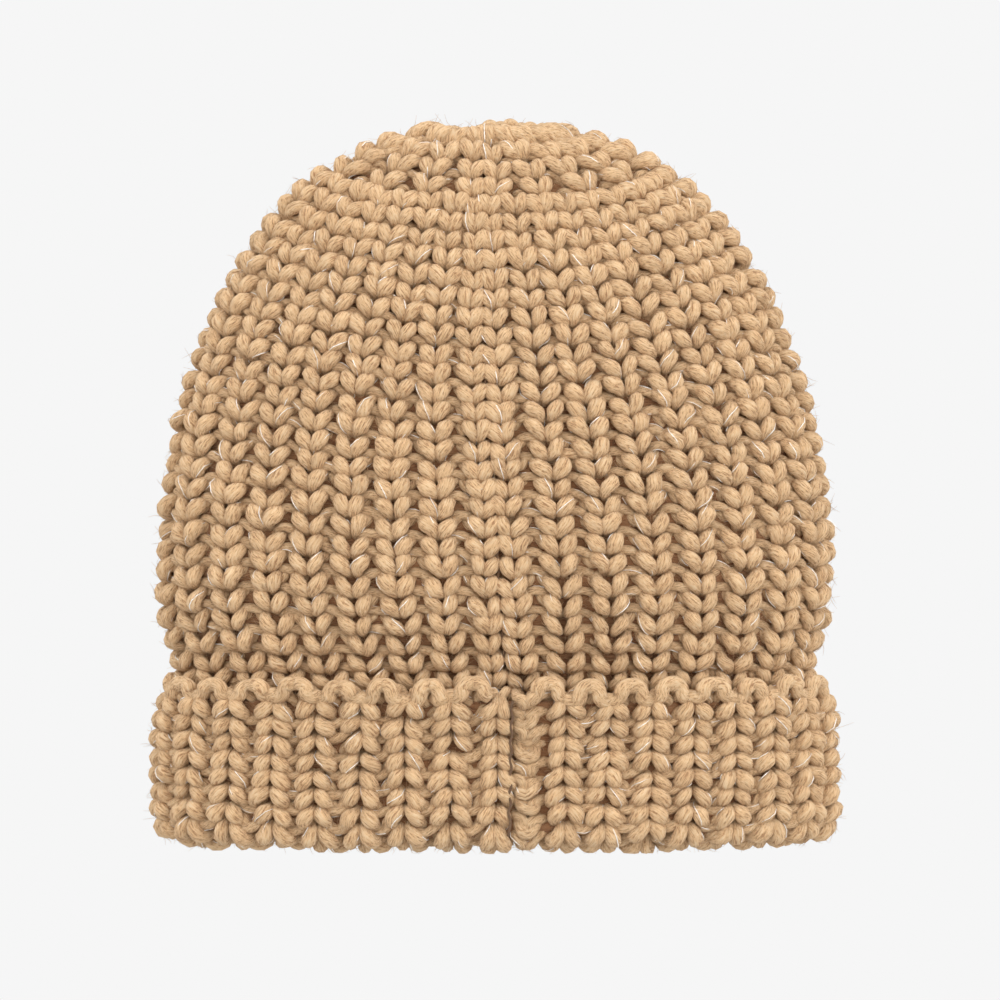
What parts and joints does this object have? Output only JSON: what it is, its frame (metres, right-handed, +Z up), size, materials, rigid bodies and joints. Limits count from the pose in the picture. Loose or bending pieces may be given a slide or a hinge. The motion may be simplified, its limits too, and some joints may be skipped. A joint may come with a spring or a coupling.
{
  "type": "rib-knit beanie",
  "caption": "Chunky rib-knit winter beanie with a turned-up cuff, a sewn centre seam and a gathered crown.",
  "frame": {"origin": "middle of the bounding box on the surface that the fold of the cuff stands on", "axes": "+Z up towards the crown; +X along the width; the face with the sewn seam looks towards -Y"},
  "size_m": [0.209, 0.08, 0.2205],
  "materials": {
    "knit_yarn": "soft two-ply wool-blend yarn, camel, slightly fuzzy, with glints of metallic thread",
    "seam_yarn": "the same yarn, pulled tight, matt"
  },
  "bodies": {
    "root": {"crown": "knit_yarn", "body_wall": "knit_yarn", "turn_up_cuff": "knit_yarn", "cast_on_edge": "knit_yarn", "back_seam": "seam_yarn", "cuff_seam": "seam_yarn", "crown_tie": "seam_yarn"}
  },
  "joints": []
}
